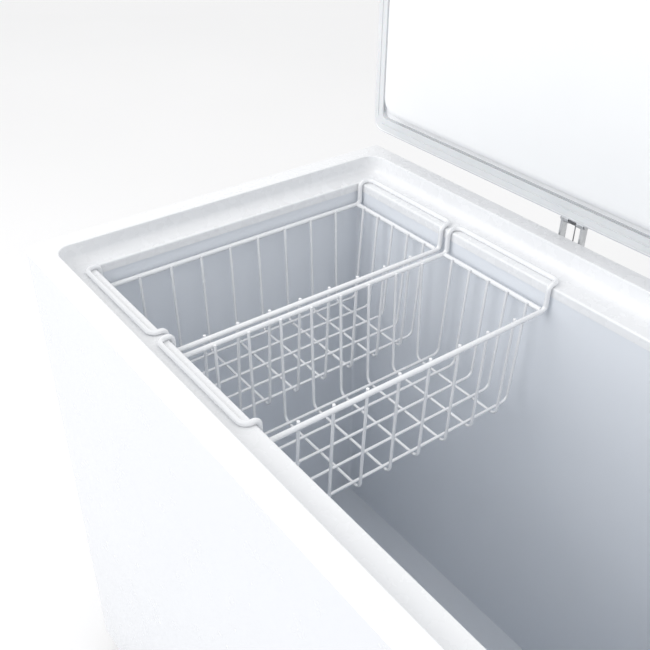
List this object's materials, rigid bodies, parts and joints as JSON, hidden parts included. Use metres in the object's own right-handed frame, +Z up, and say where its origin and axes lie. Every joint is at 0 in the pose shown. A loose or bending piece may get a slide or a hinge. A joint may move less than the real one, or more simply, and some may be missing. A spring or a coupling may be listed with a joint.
{
  "type": "chest freezer",
  "caption": "White chest freezer on casters with its insulated lid raised, a stepped liner, a recessed rim and hanging wire baskets.",
  "frame": {"origin": "bottom centre of the whole object with the lid raised, on the floor under the casters", "axes": "+X along the length to the user's right, +Y to the back where the hinges are, +Z up"},
  "size_m": [1.0684, 0.6352, 1.4003],
  "materials": {
    "painted_steel": "gloss",
    "zinc_steel": "satin",
    "rim_moulding": "gloss",
    "liner_sheet": "satin",
    "foam": "matte",
    "coated_wire": "gloss",
    "lid_sheet": "gloss",
    "gasket_vinyl": "matte",
    "handle_plastic": "gloss",
    "spring_steel": "satin",
    "fastener_steel": "satin",
    "copper_tube": "satin",
    "aluminium_tube": "satin",
    "compressor_black": "gloss",
    "black_rubber": "matte",
    "dark_plastic": "matte",
    "grey_plastic": "satin",
    "panel_plastic": "satin",
    "lens": "gloss",
    "wheel_plastic": "satin"
  },
  "bodies": {
    "cabinet": {"outer_wrap": "painted_steel", "back_panel": "zinc_steel", "base_pan": "zinc_steel", "top_collar": "rim_moulding", "inner_liner": "liner_sheet", "foam_insulation": "foam", "case_screws": "fastener_steel", "base_bolts": "fastener_steel", "hinge_bases": "zinc_steel", "hinge_pins": "fastener_steel", "hinge_springs": "spring_steel", "compressor": "compressor_black", "compressor_grommets": "black_rubber", "start_relay": "dark_plastic", "evaporator_coil": "aluminium_tube", "condenser_coil": "copper_tube", "suction_line": "copper_tube", "discharge_line": "copper_tube", "filter_drier": "copper_tube", "capillary_tube": "copper_tube", "side_grille": "grey_plastic", "rear_cover": "zinc_steel", "cord_gland": "black_rubber", "control_panel": "panel_plastic", "control_box": "dark_plastic", "indicator_lenses": "lens", "drain_pipe": "grey_plastic", "caster_plates": "zinc_steel", "rear_caster_brackets": "zinc_steel", "rear_axles": "fastener_steel"},
    "lid": {"lid_skin": "painted_steel", "lid_liner": "lid_sheet", "lid_foam": "foam", "lid_gasket": "gasket_vinyl", "lid_handle": "handle_plastic", "hinge_arms": "zinc_steel", "lid_screws": "fastener_steel"},
    "left_basket": {"basket_left_frame": "coated_wire", "basket_left_end_wires": "coated_wire", "basket_left_hoops": "coated_wire", "basket_left_long_wires": "coated_wire"},
    "right_basket": {"basket_right_frame": "coated_wire", "basket_right_end_wires": "coated_wire", "basket_right_hoops": "coated_wire", "basket_right_long_wires": "coated_wire"},
    "knob": {"thermostat_knob": "grey_plastic"},
    "rocker": {"freeze_switch": "grey_plastic"},
    "outer_drain_cap": {"drain_cap": "grey_plastic"},
    "inner_drain_plug": {"drain_plug": "black_rubber"},
    "left_swivel": {"caster_fork_left": "zinc_steel", "caster_axle_left": "fastener_steel"},
    "right_swivel": {"caster_fork_right": "zinc_steel", "caster_axle_right": "fastener_steel"},
    "front_left_wheel": {"front_wheel_left": "wheel_plastic"},
    "front_right_wheel": {"front_wheel_right": "wheel_plastic"},
    "rear_left_wheel": {"rear_wheel_left": "wheel_plastic"},
    "rear_right_wheel": {"rear_wheel_right": "wheel_plastic"}
  },
  "joints": [
    {"name": "lid_hinge", "type": "hinge", "parent": "cabinet", "child": "lid", "pos_m": [-0.0012, 0.27165, 0.802], "axis": [1, 0, 0], "range_deg": [0, 90], "stiffness_Nm_per_rad": 12},
    {"name": "left_basket_lift", "type": "slide", "parent": "cabinet", "child": "left_basket", "axis": [0, 0, -1], "range_m": [-0.3, 0]},
    {"name": "right_basket_lift", "type": "slide", "parent": "cabinet", "child": "right_basket", "axis": [0, 0, -1], "range_m": [-0.3, 0]},
    {"name": "thermostat_turn", "type": "hinge", "parent": "cabinet", "child": "knob", "pos_m": [0.3528, -0.30265, 0.14], "axis": [0, -1, 0], "range_deg": [-135, 135]},
    {"name": "freeze_rocker", "type": "hinge", "parent": "cabinet", "child": "rocker", "pos_m": [0.4488, -0.30065, 0.14], "axis": [-1, 0, 0], "range_deg": [0, 12]},
    {"name": "drain_cap_pull", "type": "slide", "parent": "cabinet", "child": "outer_drain_cap", "axis": [0, -1, 0], "range_m": [0, 0.03]},
    {"name": "drain_plug_pull", "type": "slide", "parent": "cabinet", "child": "inner_drain_plug", "axis": [0, 0, 1], "range_m": [0, 0.05]},
    {"name": "left_caster_swivel", "type": "hinge", "parent": "cabinet", "child": "left_swivel", "pos_m": [-0.4532, -0.23165, 0.0465], "axis": [0, 0, 1], "continuous": true},
    {"name": "right_caster_swivel", "type": "hinge", "parent": "cabinet", "child": "right_swivel", "pos_m": [0.4508, -0.23165, 0.0465], "axis": [0, 0, 1], "continuous": true},
    {"name": "front_left_roll", "type": "hinge", "parent": "left_swivel", "child": "front_left_wheel", "pos_m": [-0.4532, -0.21965, 0.02], "axis": [1, 0, 0], "continuous": true},
    {"name": "front_right_roll", "type": "hinge", "parent": "right_swivel", "child": "front_right_wheel", "pos_m": [0.4508, -0.21965, 0.02], "axis": [1, 0, 0], "continuous": true},
    {"name": "rear_left_roll", "type": "hinge", "parent": "cabinet", "child": "rear_left_wheel", "pos_m": [-0.4532, 0.19635, 0.02], "axis": [1, 0, 0], "continuous": true},
    {"name": "rear_right_roll", "type": "hinge", "parent": "cabinet", "child": "rear_right_wheel", "pos_m": [0.4508, 0.19635, 0.02], "axis": [1, 0, 0], "continuous": true}
  ]
}
